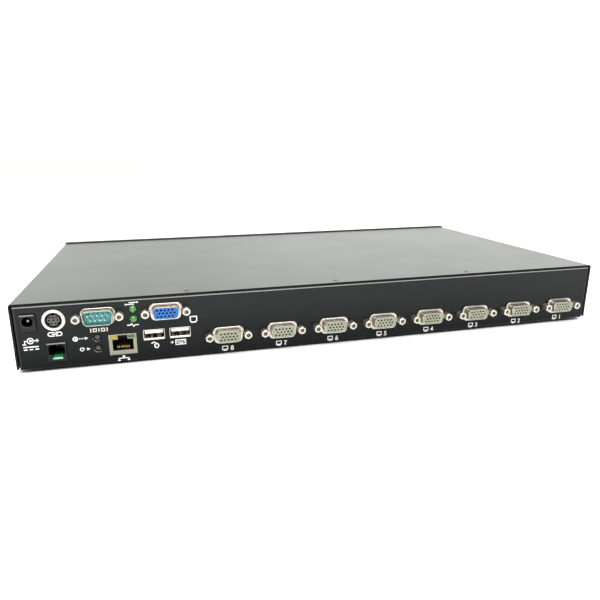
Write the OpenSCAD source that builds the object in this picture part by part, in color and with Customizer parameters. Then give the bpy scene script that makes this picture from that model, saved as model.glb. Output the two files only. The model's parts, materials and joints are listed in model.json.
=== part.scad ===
// Eight-port keyboard, video and mouse switch in a one-unit steel case, as separate pieces.
// +Z is up, the control panel faces -Y and the sockets face +Y. The origin is the middle of
// the footprint, on the surface that the feet stand on. All sizes are millimetres.

/* [Case] */
// Width over the top cover's side walls
case_w = 406; // [400:1:430]
// Height of the steel case, without feet and bezel lip
case_h = 41.7; // [41.5:0.1:42.5]
// Depth of the steel case, from the bezel to the socket panel
case_d = 215; // [200:1:260]
// Thickness of the sheet steel
sheet_t = 1; // [0.8:0.1:1]
// Outer radius of the sheet's bends
bend_r = 1.5; // [1.2:0.1:2]
// Gap between the base pan's edge and the cover's side wall
cover_gap = 0.6; // [0.4:0.1:1]

/* [Front bezel] */
// Thickness of the bezel
bezel_t = 4; // [3.8:0.1:5]
// How far the bezel stands above and below the steel case
bezel_lip = 1.2; // [0.8:0.1:1.4]
// Distance between neighbouring port buttons
button_pitch = 30; // [26:1:34]
// How far a port button stands out of the bezel
button_out = 1; // [0.6:0.1:2]

/* [Feet] */
// Height of the rubber feet, taller than the bezel's lip
foot_h = 2; // [1.8:0.1:4]
// Radius of the rubber feet
foot_r = 6; // [4:0.5:8]

/* [Sockets] */
// Distance between neighbouring computer sockets
port_pitch = 36.2; // [34:0.1:36.2]
// Sideways place of computer socket 1
port_1_x = -178.3; // [-180:0.1:-176]
// Height of the computer sockets' row above the case's underside
port_z = 11.75; // [11.5:0.05:12.5]
// Height of the upper row of sockets above the case's underside
upper_z = 30.8; // [30.5:0.1:31]
// How far the jackscrews stand out of the socket panel
jack_out = 5.5; // [5:0.1:6]

/* [Hidden] */
$fn = 48;

// Places and levels of the case; levels count from the case's underside.
rear_y = (case_d + bezel_t + button_out - jack_out) / 2;
front_y = rear_y - case_d;
bezel_y = front_y - bezel_t;
pan_w = case_w - 2 * (sheet_t + cover_gap);
pan_h = case_h - sheet_t - 0.05;
panel_in = rear_y - sheet_t;

// Circuit boards.
board_t = 1.6;
main_top = 5;
ip_top = 23.4;
ip_under = ip_top - board_t;
board_rear = panel_in - 0.9;
front_board_y = front_y + 7;
switch_front = front_board_y - 3.5;

// Two-row and three-row D connectors: the shell is a trapezoid with round corners.
d_slope = 10;
d_corner = 2.6;
d_flange = [30.8, 12.5, 0.8];
d_screw_gap = 24.99;
d_wall = 0.4;
d_out = 5;
d_rim = [20.3, 11.1];
d_rim_r = 3.2;
d_cutout = [20.6, 11.4];
d_rim_out = 0.9;
d_female = [16.3, 7.9];
d_male = [17.9, 9.3];
d_block_d = 9;
flange_y = panel_in - d_flange[2];

// Sideways places and levels on the socket panel.
serial_x = 153.9;
monitor_x = 113.7;
dc_x = 193.5;
dc_w = 9;
dc_low = 24.5;
dc_high = 35.1;
link_x = 179.2;
link_z = 30.5;
link_bore_r = 4.95;
console_x = 179.4;
console_w = 11;
console_low = 4.4;
console_high = 16.3;
lan_x = 140.85;
lan_w = 16.6;
lan_h = 13.3;
usb_xs = [105.7, 121.8];
usb_z = 16.85;
status_x = 133.4;
status_zs = [27.5, 33.9];
status_r = 2.35;
rear_button_x = 155.75;
setup_z = 17.15;
reset_z = 10.15;

// Fasteners. Threads are drawn as plain cylinders at their outer diameter.
m3_r = 1.45;
m3_hole_r = 1.5;
jack_r = 1.42;
jack_hole_r = 1.6;
jack_across = 4.8;
cover_screw_xs = [-100, 0, 100];
cover_screw_in = 5.5;
side_screw_ys = [-60, 20, rear_y - 8];
side_screw_z = 7;
ear_hole_r = 2;
ear_y = front_y + 26;
ear_z = 21;
ear_gap_y = 32;
ear_gap_z = 20;

// Rear buttons and their switches.
rear_button_r = 1.6;
rear_button_hole_r = 2.5;
rear_switch_d = 3.6;
rear_switch_gap = 2.2;

// Port buttons: a cap with a flange, held between the bezel and the case's front wall.
cap_w = 10;
cap_h = 6;
cap_gap = 0.2;
cap_flange = 1;
cap_flange_edge = 1;
pocket_d = 1.8;
stem_r = 1.75;
bore_gap = 0.1;
button_z = 14;
front_led_z = 26;
front_led_dx = 4;
front_led_r = 1.5;

// Board supports: [x, y] of those that only hold the main board, and of those that carry the second board too.
main_posts = [[-188, -62], [-188, 80], [-20, -62], [-20, 80], [188, -62]];
stack_posts = [[100, 72], [192, 72], [100, -12], [192, -12]];
front_posts = [-158, 0, 158];
foot_xs = [-175, 175];
foot_ys = [-82, 80];

function port_x(n) = port_1_x + (n - 1) * port_pitch;
function button_x(n) = (n - 4.5) * button_pitch;

// ---- helpers ----

// Lifts what is placed from the case's underside onto the feet.
module in_case() {
    translate([0, 0, foot_h]) children();
}

// An outline in X and Z, extruded along Y from y_low to y_high.
module along_y(y_low, y_high) {
    translate([0, y_high, 0]) rotate([90, 0, 0]) linear_extrude(y_high - y_low) children();
}

// A cylinder along Y.
module rod_y(x, z, y_low, y_high, r) {
    along_y(y_low, y_high) translate([x, z]) circle(r);
}

module block(low, high) {
    translate(low) cube(high - low);
}

module rounded(w, h, r) {
    square([w - 2 * r, h], center = true);
    square([w, h - 2 * r], center = true);
    for (sx = [-1, 1], sz = [-1, 1]) translate([sx * (w / 2 - r), sz * (h / 2 - r)]) circle(r);
}

module upright_slot(w, h) {
    square([w, h - w], center = true);
    for (s = [-1, 1]) translate([0, s * (h - w) / 2]) circle(w / 2);
}

// The D connector's outline, w at its widest: sides leaning in towards the bottom, round corners. The corner
// circles stand a hair proud of the straight sides, so that each side ends where it crosses its circle.
module d_outline(w, h, r) {
    proud = 0.003;
    top_x = w / 2 - r;
    low_x = top_x - (h - 2 * r) * tan(d_slope);
    dx = (r - proud) * cos(d_slope);
    dz = (r - proud) * sin(d_slope);
    right = [
        [top_x, h / 2 - proud], [top_x + dx, h / 2 - r - dz],
        [low_x + dx, r - h / 2 - dz], [low_x, proud - h / 2]
    ];
    left = [for (i = [3:-1:0]) [-right[i][0], right[i][1]]];
    polygon(concat(right, left));
    for (s = [-1, 1]) {
        translate([s * top_x, h / 2 - r]) circle(r);
        translate([s * low_x, r - h / 2]) circle(r);
    }
}

module d_screw_places() {
    for (s = [-1, 1]) translate([s * d_screw_gap / 2, 0]) children();
}

// ---- case ----

// Side view of the base pan: floor, front and rear walls, and the flanges along their tops.
module pan_section() {
    flange = 11;
    difference() {
        translate([(front_y + rear_y) / 2, pan_h / 2]) rounded(case_d, pan_h, bend_r);
        translate([(front_y + rear_y) / 2, pan_h / 2])
            rounded(case_d - 2 * sheet_t, pan_h - 2 * sheet_t, bend_r - sheet_t);
        translate([front_y + flange, pan_h - 2 * sheet_t]) square([case_d - 2 * flange, 3 * sheet_t]);
    }
}

module d_cutouts() {
    d_outline(d_cutout[0], d_cutout[1], d_rim_r + 0.15);
    d_screw_places() circle(jack_hole_r);
}

module rear_cutouts() {
    clear = 0.3;
    for (x = [serial_x, monitor_x]) translate([x, upper_z]) d_cutouts();
    for (n = [1:8]) translate([port_x(n), port_z]) d_cutouts();
    translate([dc_x, (dc_low + dc_high) / 2]) rounded(dc_w + 0.5, dc_high - dc_low + 0.5, 0.3);
    translate([link_x, link_z]) circle(6.7);
    translate([console_x, (console_low + console_high) / 2])
        rounded(console_w + clear, console_high - console_low + clear, 0.3);
    translate([lan_x, main_top + lan_h / 2]) rounded(lan_w + clear, lan_h + clear, 0.4);
    for (x = usb_xs) translate([x, usb_z]) rounded(13.6, 6.5, 0.8);
    for (z = status_zs) translate([status_x, z]) circle(status_r + 0.15);
    for (z = [setup_z, reset_z]) translate([rear_button_x, z]) circle(rear_button_hole_r);
}

module front_wall_holes() {
    for (n = [1:8]) {
        translate([button_x(n), button_z]) circle(3);
        for (s = [-1, 1]) translate([button_x(n) + s * front_led_dx, front_led_z]) circle(2.2);
    }
    for (x = front_posts) translate([x, front_led_z]) circle(m3_hole_r);
}

module ear_holes() {
    for (sy = [-1, 1], sz = [-1, 1])
        translate([0, ear_y + sy * ear_gap_y / 2, ear_z + sz * ear_gap_z / 2])
            rotate([0, 90, 0]) cylinder(h = case_w + 10, r = ear_hole_r, center = true);
}

module side_screw_holes(r) {
    for (y = side_screw_ys) translate([0, y, side_screw_z])
        rotate([0, 90, 0]) cylinder(h = case_w + 10, r = r, center = true);
}

module base_pan() {
    side_flange_h = 12;
    ear_flange_d = 48;
    rear_flange_d = 14;
    color([0.13, 0.14, 0.15]) in_case() difference() {
        union() {
            intersection() {
                rotate([90, 0, 90]) translate([0, 0, -pan_w / 2]) linear_extrude(pan_w) pan_section();
                translate([0, (front_y + rear_y) / 2, 0]) linear_extrude(case_h) rounded(pan_w, case_d, bend_r);
            }
            for (s = [-1, 1]) {
                x_low = s > 0 ? pan_w / 2 - sheet_t : -pan_w / 2;
                block([x_low, front_y + bend_r, sheet_t / 2], [x_low + sheet_t, rear_y - bend_r, side_flange_h]);
                block([x_low, front_y + bend_r, sheet_t / 2], [x_low + sheet_t, front_y + ear_flange_d, pan_h - 2]);
                block([x_low, rear_y - rear_flange_d, sheet_t / 2], [x_low + sheet_t, rear_y - bend_r, pan_h - 2]);
            }
        }
        along_y(panel_in - 1, rear_y + 1) rear_cutouts();
        along_y(front_y - 1, front_y + sheet_t + 1) front_wall_holes();
        for (p = concat(main_posts, stack_posts)) translate([p[0], p[1], -1]) cylinder(h = 3, r = 2.45);
        for (x = cover_screw_xs) translate([x, rear_y - cover_screw_in, pan_h - 3]) cylinder(h = 5, r = m3_hole_r);
        ear_holes();
        side_screw_holes(m3_hole_r);
    }
}

// Cone of a countersunk head; z = 0 is the sheet's face.
module countersunk_head() {
    translate([0, 0, -sheet_t]) cylinder(h = sheet_t, r1 = 1.8, r2 = 2.8);
}

// Seat that the head sits in, a little wider and open above the face.
module countersink() {
    translate([0, 0, -sheet_t - 0.1]) cylinder(h = sheet_t + 0.6, r1 = 1.8, r2 = 3.4);
}

module cover_section() {
    leg_low = 1;
    inner_w = case_w - 2 * sheet_t;
    difference() {
        translate([0, case_h / 2]) rounded(case_w, case_h, bend_r);
        translate([0, case_h / 2]) rounded(inner_w, case_h - 2 * sheet_t, bend_r - sheet_t);
        translate([-inner_w / 2, -1]) square([inner_w, case_h / 2]);
        translate([-case_w / 2 - 1, -1]) square([case_w + 2, leg_low + 1]);
    }
}

module vent_slots() {
    for (i = [0:11]) translate([0, -20 + 6 * i, 25])
        rotate([90, 0, 90]) translate([0, 0, -case_w / 2 - 5]) linear_extrude(case_w + 10) upright_slot(2.4, 16);
}

module top_cover() {
    color([0.42, 0.43, 0.42]) in_case() difference() {
        along_y(front_y, rear_y) cover_section();
        for (x = cover_screw_xs) translate([x, rear_y - cover_screw_in, case_h]) {
            countersink();
            translate([0, 0, -2]) cylinder(h = 3, r = 1.7);
        }
        for (s = [-1, 1], y = side_screw_ys) translate([s * case_w / 2, y, side_screw_z])
            rotate([0, s * 90, 0]) countersink();
        side_screw_holes(1.7);
        ear_holes();
        vent_slots();
    }
}

// Countersunk cross-head screw; z = 0 is the flush face.
module case_screw() {
    length = 5;
    difference() {
        union() {
            countersunk_head();
            translate([0, 0, -length]) cylinder(h = length, r = m3_r);
        }
        for (a = [0, 90]) rotate(a) translate([0, 0, -0.4]) cube([3, 0.7, 1], center = true);
    }
}

module case_screws() {
    color([0.1, 0.1, 0.11]) in_case() {
        for (x = cover_screw_xs) translate([x, rear_y - cover_screw_in, case_h]) case_screw();
        for (s = [-1, 1], y = side_screw_ys) translate([s * case_w / 2, y, side_screw_z])
            rotate([0, s * 90, 0]) case_screw();
    }
}

module bezel_outline() {
    translate([0, case_h / 2]) rounded(case_w, case_h + 2 * bezel_lip, bend_r);
}

module front_bezel() {
    recess_d = 0.6;
    color([0.16, 0.17, 0.18]) in_case() difference() {
        along_y(bezel_y, front_y) bezel_outline();
        along_y(bezel_y - 1, bezel_y + recess_d) translate([0, 20]) rounded(9 * button_pitch, 26, 3);
        for (n = [1:8]) {
            along_y(bezel_y - 1, front_y + 1) translate([button_x(n), button_z])
                rounded(cap_w + 2 * cap_gap, cap_h + 2 * cap_gap, 1);
            along_y(front_y - pocket_d, front_y + 1) translate([button_x(n), button_z])
                square([cap_w + 2 * cap_flange_edge + 1, cap_h + 2 * cap_flange_edge + 1], center = true);
            for (s = [-1, 1])
                rod_y(button_x(n) + s * front_led_dx, front_led_z, bezel_y - 1, front_y + 1, front_led_r + 0.1);
        }
    }
}

module rubber_feet() {
    color([0.07, 0.07, 0.07]) for (x = foot_xs, y = foot_ys) translate([x, y, 0]) {
        cylinder(h = 0.5, r1 = foot_r - 0.5, r2 = foot_r);
        translate([0, 0, 0.5]) cylinder(h = foot_h - 0.5, r = foot_r);
    }
}

// ---- boards and their fasteners ----

module main_board() {
    y_low = -76;
    color([0.07, 0.3, 0.15]) in_case() difference() {
        block([-196, y_low, main_top - board_t], [196, board_rear, main_top]);
        for (p = concat(main_posts, stack_posts)) translate([p[0], p[1], 0]) cylinder(h = 10, r = 1.6);
    }
}

module ip_board() {
    color([0.07, 0.3, 0.15]) in_case() difference() {
        block([94, -20, ip_under], [199, board_rear, ip_top]);
        for (p = stack_posts) translate([p[0], p[1], 20]) cylinder(h = 10, r = 1.6);
    }
}

module front_board() {
    color([0.07, 0.3, 0.15]) in_case() difference() {
        block([-165, front_board_y, 8], [165, front_board_y + board_t, 32]);
        for (x = front_posts) rod_y(x, front_led_z, front_board_y - 1, front_board_y + 3, 1.6);
    }
}

// Hexagonal post across 5.5 with a threaded hole of depth bore in its top, from z = 0 up.
module hex_post(h, bore) {
    difference() {
        cylinder(h = h, r = 5.5 / 2 / cos(30), $fn = 6);
        translate([0, 0, h - bore]) cylinder(h = bore + 1, r = m3_hole_r);
    }
}

module standoffs() {
    main_under = main_top - board_t;
    main_h = main_under - sheet_t;
    stack_h = ip_under - main_top;
    front_h = front_board_y - front_y - sheet_t;
    color([0.75, 0.6, 0.3]) in_case() {
        for (p = concat(main_posts, stack_posts)) translate([p[0], p[1], 0]) difference() {
            union() {
                translate([0, 0, sheet_t]) hex_post(main_h, 0);
                cylinder(h = sheet_t, r = 2.4);
            }
            translate([0, 0, 0.6]) cylinder(h = 5, r = m3_hole_r);
        }
        for (p = stack_posts) translate([p[0], p[1], main_top]) {
            hex_post(stack_h, 6);
            translate([0, 0, -4]) cylinder(h = 4, r = m3_r);
        }
        for (x = front_posts) translate([x, front_y + sheet_t, front_led_z]) rotate([-90, 0, 0]) {
            hex_post(front_h, 4);
            translate([0, 0, -sheet_t]) cylinder(h = sheet_t, r = m3_r);
        }
    }
}

// Pan-head screw with its head's underside at z = 0.
module pan_screw(length) {
    difference() {
        union() {
            cylinder(h = 1.9, r1 = 2.8, r2 = 2.4);
            translate([0, 0, -length]) cylinder(h = length, r = m3_r);
        }
        for (a = [0, 90]) rotate(a) translate([0, 0, 1.6]) cube([3.4, 0.7, 1.6], center = true);
    }
}

module board_screws() {
    color([0.7, 0.71, 0.72]) in_case() {
        for (p = main_posts) translate([p[0], p[1], main_top]) pan_screw(4);
        for (p = stack_posts) translate([p[0], p[1], ip_top]) pan_screw(5);
        for (x = front_posts) translate([x, front_board_y + board_t, front_led_z]) rotate([-90, 0, 0]) pan_screw(4);
    }
}

// ---- D connectors ----

// Metal front of a D connector: flange behind the panel, raised rim in the cut-out, shell around the contacts.
module d_shell(x, z, size) {
    groove = 0.35;
    in_case() translate([x, 0, z]) difference() {
        union() {
            difference() {
                union() {
                    along_y(flange_y, panel_in) rounded(d_flange[0], d_flange[1], 1);
                    along_y(panel_in - 0.1, rear_y + d_rim_out) d_outline(d_rim[0], d_rim[1], d_rim_r);
                }
                along_y(rear_y - 0.4, rear_y + 2)
                    d_outline(size[0] + 2 * groove, size[1] + 2 * groove, d_corner + groove);
            }
            along_y(flange_y + 0.2, rear_y + d_out) d_outline(size[0], size[1], d_corner);
        }
        along_y(flange_y - 1, rear_y + d_out + 1)
            d_outline(size[0] - 2 * d_wall, size[1] - 2 * d_wall, d_corner - d_wall);
        along_y(flange_y - 1, panel_in + 1) d_screw_places() circle(jack_hole_r);
    }
}

// Moulded block behind the flange, down to the board it is soldered on.
module d_block(board_z) {
    difference() {
        block([-d_flange[0] / 2, flange_y - d_block_d, board_z], [d_flange[0] / 2, flange_y, d_flange[1] / 2 - 0.5]);
        along_y(flange_y - 7, flange_y + 1) d_screw_places() circle(jack_hole_r);
    }
}

// Three rows of five contacts; the middle row is shifted by half a step.
module hd_places() {
    step = 2.29;
    row = 1.98;
    for (r = [-1:1], c = [-2:2]) translate([c * step + (r == 0 ? -0.25 : 0.25) * step, r * row]) children();
}

// A row of five contacts over a row of four.
module de_places() {
    step = 2.77;
    row = 2.84;
    for (c = [-2:2]) translate([c * step, row / 2]) children();
    for (c = [-1.5:1.5]) translate([c * step, -row / 2]) children();
}

module female_insulator(x, z, board_top) {
    gap = 0.02;
    recess = 0.3;
    hole_r = 0.62;
    in_case() translate([x, 0, z]) difference() {
        union() {
            d_block(board_top - z);
            along_y(flange_y - 0.1, rear_y + d_out - recess)
                d_outline(d_female[0] - 2 * (d_wall + gap), d_female[1] - 2 * (d_wall + gap), d_corner - d_wall);
        }
        along_y(rear_y, rear_y + d_out + 1) hd_places() circle(hole_r, $fn = 12);
    }
}

module serial_insulator() {
    gap = 0.02;
    color([0.1, 0.55, 0.58]) in_case() translate([serial_x, 0, upper_z]) difference() {
        union() {
            d_block(ip_top - upper_z);
            along_y(flange_y - 0.1, rear_y)
                d_outline(d_male[0] - 2 * (d_wall + gap), d_male[1] - 2 * (d_wall + gap), d_corner - d_wall);
        }
        along_y(flange_y - 6, rear_y + 1) de_places() circle(0.54, $fn = 12);
    }
}

module serial_pins() {
    tip = rear_y + d_out - 0.8;
    color([0.85, 0.72, 0.4]) in_case() translate([serial_x, 0, upper_z]) {
        along_y(flange_y - 5.9, tip) de_places() circle(0.5);
        rotate([90, 0, 0]) translate([0, 0, -tip]) de_places() sphere(0.5);
    }
}

module nickel() {
    color([0.78, 0.76, 0.72]) children();
}

module serial_shell() {
    nickel() d_shell(serial_x, upper_z, d_male);
}

module monitor_shell() {
    nickel() d_shell(monitor_x, upper_z, d_female);
}

module monitor_insulator() {
    color([0.1, 0.35, 0.8]) female_insulator(monitor_x, upper_z, ip_top);
}

module pc_port_shell(n) {
    nickel() d_shell(port_x(n), port_z, d_female);
}

module pc_port_insulators() {
    color([0.68, 0.73, 0.65]) for (n = [1:8]) female_insulator(port_x(n), port_z, main_top);
}

// Hexagonal jackscrew: threaded socket outside the panel, stud through the connector's flange.
module jackscrew() {
    chamfer = 0.5;
    corner_r = jack_across / 2 / cos(30);
    stud = 6;
    difference() {
        union() {
            intersection() {
                cylinder(h = jack_out, r = corner_r, $fn = 6);
                union() {
                    cylinder(h = jack_out - chamfer, r = corner_r + 1);
                    translate([0, 0, jack_out - chamfer])
                        cylinder(h = chamfer, r1 = corner_r, r2 = jack_across / 2 - 0.25);
                }
            }
            translate([0, 0, -stud]) cylinder(h = stud, r = jack_r);
        }
        translate([0, 0, 1]) cylinder(h = jack_out, r = jack_r);
    }
}

module jackscrews() {
    places = concat(
        [for (x = [serial_x, monitor_x], s = [-1, 1]) [x + s * d_screw_gap / 2, upper_z]],
        [for (n = [1:8], s = [-1, 1]) [port_x(n) + s * d_screw_gap / 2, port_z]]
    );
    color([0.8, 0.78, 0.74]) in_case() for (p = places)
        translate([p[0], rear_y, p[1]]) rotate([-90, 30, 0]) jackscrew();
}

// ---- other sockets ----

module dc_jack_housing() {
    depth = 14;
    face = rear_y + 0.5;
    collar = 0.4;
    z = upper_z;
    color([0.06, 0.06, 0.06]) in_case() difference() {
        union() {
            block([dc_x - dc_w / 2, rear_y - depth, dc_low], [dc_x + dc_w / 2, face, dc_high]);
            block([dc_x - dc_w / 2, rear_y - depth, ip_top], [dc_x + dc_w / 2, board_rear, dc_low + 1]);
            rod_y(dc_x, z, face - 1, face + collar, 3.75);
        }
        rod_y(dc_x, z, rear_y - 10.5, rear_y + 2, 3.25);
        rod_y(dc_x, z, rear_y - 13, rear_y - 10, 1.02);
    }
}

module dc_jack_pin() {
    tip = rear_y - 1.6;
    nickel() in_case() {
        rod_y(dc_x, upper_z, rear_y - 12.9, tip, 1);
        translate([dc_x, tip, upper_z]) sphere(1);
    }
}

module link_shield() {
    ring_out = 1;
    ring_r = 6.5;
    nickel() in_case() difference() {
        union() {
            block([link_x - 7, rear_y - 13, ip_top], [link_x + 7, panel_in, link_z + 6.8]);
            rod_y(link_x, link_z, panel_in - 0.5, rear_y + ring_out / 2, ring_r);
            rod_y(link_x, link_z, panel_in, rear_y + ring_out, ring_r - ring_out / 2);
        }
        rod_y(link_x, link_z, rear_y - 9, rear_y + ring_out + 1, link_bore_r);
    }
}

// Inside of the round socket: a liner, and a keyed core with contact holes in rows of three, three and two.
module link_insert() {
    core_r = 3.55;
    liner_r = link_bore_r - 0.02;
    holes = [
        for (x = [-1.9, 0, 1.9]) [x, 1.8],
        for (x = [-2.4, 0, 2.4]) [x, 0],
        for (x = [-1.2, 1.2]) [x, -1.9]
    ];
    color([0.2, 0.2, 0.21]) in_case() translate([link_x, 0, link_z]) difference() {
        union() {
            along_y(rear_y - 9, rear_y - 7.5) circle(liner_r, $fn = 40);
            along_y(rear_y - 8, rear_y + 0.4) circle(core_r, $fn = 40);
            along_y(rear_y - 8, rear_y + 0.6) difference() {
                circle(liner_r, $fn = 40);
                circle(liner_r - 0.45, $fn = 40);
            }
        }
        along_y(rear_y - 6, rear_y + 1) for (h = holes) translate(h) circle(0.5, $fn = 8);
        along_y(rear_y - 6, rear_y + 0.5) for (a = [90, 215, 325])
            rotate(a) translate([core_r, 0]) square([1.3, 1.2], center = true);
    }
}

console_face = rear_y + 0.6;

// The handset socket's mouth from the top: over the contacts, past the plug's body, and its latch.
module console_opening() {
    translate([0, 4.2]) square([7.7, 1.6], center = true);
    translate([0, 1]) square([9.2, 5], center = true);
    translate([0, -3.1]) square([6, 3.6], center = true);
}

module console_jack() {
    mid = (console_low + console_high) / 2;
    depth = 14;
    color([0.1, 0.1, 0.11]) in_case() difference() {
        union() {
            block([console_x - console_w / 2, rear_y - depth, main_top],
                  [console_x + console_w / 2, console_face, console_high]);
            block([console_x - console_w / 2, board_rear + 0.1, console_low],
                  [console_x + console_w / 2, console_face, main_top + 1]);
        }
        translate([console_x, 0, mid]) along_y(rear_y - 12.5, rear_y + 1) console_opening();
    }
}

// Small circuit board on the floor of the handset socket, seen through its mouth.
module console_board() {
    low = (console_low + console_high) / 2 - 4.9;
    color([0.07, 0.3, 0.15]) in_case()
        block([console_x - 2.97, rear_y - 12.4, low], [console_x + 2.97, rear_y - 0.4, low + 1]);
}

module console_contacts() {
    pitch = 1.02;
    color([0.85, 0.68, 0.3]) in_case() for (i = [-1.5:1.5])
        translate([console_x + i * pitch, rear_y - 2.5, console_high - 1.6]) rotate([24, 0, 0])
            translate([-0.2, -7, -0.3]) cube([0.4, 7, 0.3]);
}

lan_low = main_top;
lan_mid = lan_low + lan_h / 2;
lan_face = rear_y + 0.4;
lan_depth = 21;
lan_led = [3.9, 2];
lan_led_x = 5.25;
lan_led_z = 11.45;
lan_open = [12.4, 7.2];
lan_open_z = 6.35;

// The network socket's mouth: a wide cavity with a latch slot above it.
module lan_opening() {
    translate([0, lan_low + lan_open_z]) square(lan_open, center = true);
    translate([0, lan_low + lan_open_z + lan_open[1] / 2 + 1.25]) square([5.8, 2.9], center = true);
}

module lan_led_windows(extra) {
    for (s = [-1, 1]) translate([s * lan_led_x, lan_low + lan_led_z])
        square([lan_led[0] + extra, lan_led[1] + extra], center = true);
}

module lan_shield() {
    wall = 0.3;
    nickel() in_case() translate([lan_x, 0, 0]) difference() {
        block([-lan_w / 2, rear_y - lan_depth, lan_low], [lan_w / 2, lan_face, lan_low + lan_h]);
        block([wall - lan_w / 2, rear_y - lan_depth - 1, lan_low + wall],
              [lan_w / 2 - wall, lan_face - wall, lan_low + lan_h - wall]);
        along_y(rear_y - 2, rear_y + 2) {
            lan_opening();
            lan_led_windows(0.1);
        }
    }
}

module lan_housing() {
    gap = 0.32;
    color([0.05, 0.05, 0.05]) in_case() translate([lan_x, 0, 0]) difference() {
        block([gap - lan_w / 2, rear_y - lan_depth + 1, lan_low + gap],
              [lan_w / 2 - gap, lan_face - gap, lan_low + lan_h - gap]);
        along_y(rear_y - 13, rear_y + 2) lan_opening();
        along_y(lan_face - gap - 3.6, rear_y + 2) lan_led_windows(0.04);
    }
}

module lan_contacts() {
    pitch = 1.02;
    color([0.85, 0.68, 0.3]) in_case() for (i = [-3.5:3.5])
        translate([lan_x + i * pitch, rear_y - 2, lan_low + 2.85]) rotate([-18, 0, 0])
            translate([-0.2, -8, 0]) cube([0.4, 8, 0.3]);
}

module lan_led_lens(s) {
    in_case() along_y(lan_face - 3.8, lan_face) translate([lan_x + s * lan_led_x, lan_low + lan_led_z])
        square(lan_led, center = true);
}

module lan_led_amber() {
    color([0.85, 0.65, 0.1]) lan_led_lens(1);
}

module lan_led_green() {
    color([0.15, 0.5, 0.25]) lan_led_lens(-1);
}

usb_size = [13.1, 5.9];
usb_wall = 0.3;
usb_face = rear_y + 0.9;
usb_back = usb_face - 14;
usb_inner_z = usb_size[1] / 2 - usb_wall;
usb_tongue_z = usb_inner_z - 0.25;
usb_tongue_t = 2.1;

// Slots on both sides of the spring leaves in a shell's floor; each leaf is narrow at its free end.
module usb_leaf_slots() {
    for (leaf = [-3, 3], s = [-1, 1])
        translate([leaf + s * 1.25, usb_face - 5, -usb_size[1] / 2]) rotate(s * 8) cube([0.5, 6, 2], center = true);
}

// Metal shells, open at the back, with a flared lip below the mouth and two legs down to the board.
module usb_shells() {
    nickel() in_case() for (x = usb_xs) translate([x, 0, usb_z]) {
        difference() {
            along_y(usb_back, usb_face) rounded(usb_size[0], usb_size[1], 0.6);
            along_y(usb_back - 1, usb_face + 1)
                rounded(usb_size[0] - 2 * usb_wall, usb_size[1] - 2 * usb_wall, 0.3);
            usb_leaf_slots();
        }
        block([-6.4, usb_face - usb_wall, -usb_size[1] / 2 - 0.9], [6.4, usb_face, 0.1 - usb_size[1] / 2]);
        for (s = [-1, 1]) translate([s * (usb_size[0] - usb_wall) / 2, 0, 0])
            block([-usb_wall / 2, usb_back + 4, main_top - usb_z], [usb_wall / 2, usb_back + 6, 0]);
    }
}

// Moulded inside of a USB socket: the tongue, the plug of the shell's back, and the stand under the shell.
module usb_tongues() {
    color([0.85, 0.85, 0.83]) in_case() for (x = usb_xs) translate([x, 0, usb_z]) {
        block([-5.5, usb_back, usb_tongue_z - usb_tongue_t], [5.5, usb_face - 0.5, usb_tongue_z]);
        block([-6.2, usb_back - 1.5, 0.02 - usb_inner_z], [6.2, usb_back + 2, usb_inner_z - 0.02]);
        block([-6.2, usb_back - 1.5, main_top - usb_z], [6.2, usb_back - 0.02, usb_inner_z - 0.02]);
        block([-6.2, usb_back - 1.5, main_top - usb_z], [6.2, panel_in - 0.6, -usb_size[1] / 2 - 0.02]);
    }
}

module usb_contacts() {
    under = usb_tongue_z - usb_tongue_t;
    color([0.85, 0.68, 0.3]) in_case() for (x = usb_xs, c = [-3.5, -1, 1, 3.5])
        block([x + c - 0.6, usb_face - 9, usb_z + under - 0.12], [x + c + 0.6, usb_face - 1.2, usb_z + under]);
}

module status_leds() {
    dome_y = rear_y + 0.1;
    color([0.25, 0.6, 0.25]) in_case() for (z = status_zs) {
        rod_y(status_x, z, panel_in - 1, dome_y, status_r);
        intersection() {
            translate([status_x, dome_y, z]) sphere(status_r);
            block([status_x - 3, dome_y, z - 3], [status_x + 3, dome_y + 3, z + 3]);
        }
    }
}

module led_holder() {
    color([0.05, 0.05, 0.05]) in_case()
        block([status_x - 2.9, panel_in - 7, ip_top], [status_x + 2.9, panel_in - 1, status_zs[1] + 2.6]);
}

// ---- push buttons ----

module rear_button(z) {
    face = rear_y - 0.9;
    tip = panel_in - rear_switch_gap - 1.5;
    color([0.5, 0.48, 0.43]) in_case() rod_y(rear_button_x, z, tip, face, rear_button_r);
}

module rear_switch(z, low, high) {
    front = panel_in - rear_switch_gap;
    color([0.08, 0.08, 0.08]) in_case() difference() {
        block([rear_button_x - 3, front - rear_switch_d, low], [rear_button_x + 3, front, high]);
        rod_y(rear_button_x, z, front - 2.2, front + 1, rear_button_r + bore_gap);
    }
}

// One switch hangs under the second board, the other stands on the main board.
module rear_switches() {
    rear_switch(setup_z, setup_z - 3, ip_under);
    rear_switch(reset_z, main_top, reset_z + 3);
}

module port_button(n) {
    color([0.3, 0.31, 0.33]) in_case() translate([button_x(n), 0, button_z]) {
        flange_front = front_y - pocket_d + 0.05;
        along_y(bezel_y - button_out, flange_front + cap_flange) rounded(cap_w, cap_h, 0.9);
        along_y(flange_front, flange_front + cap_flange)
            square([cap_w + 2 * cap_flange_edge, cap_h + 2 * cap_flange_edge], center = true);
        rod_y(0, 0, flange_front, switch_front + 1.6, stem_r);
    }
}

module port_switches() {
    color([0.08, 0.08, 0.08]) in_case() for (n = [1:8]) difference() {
        block([button_x(n) - 3, switch_front, button_z - 3], [button_x(n) + 3, front_board_y, button_z + 3]);
        rod_y(button_x(n), button_z, switch_front - 1, switch_front + 2.6, stem_r + bore_gap);
    }
}

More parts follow.
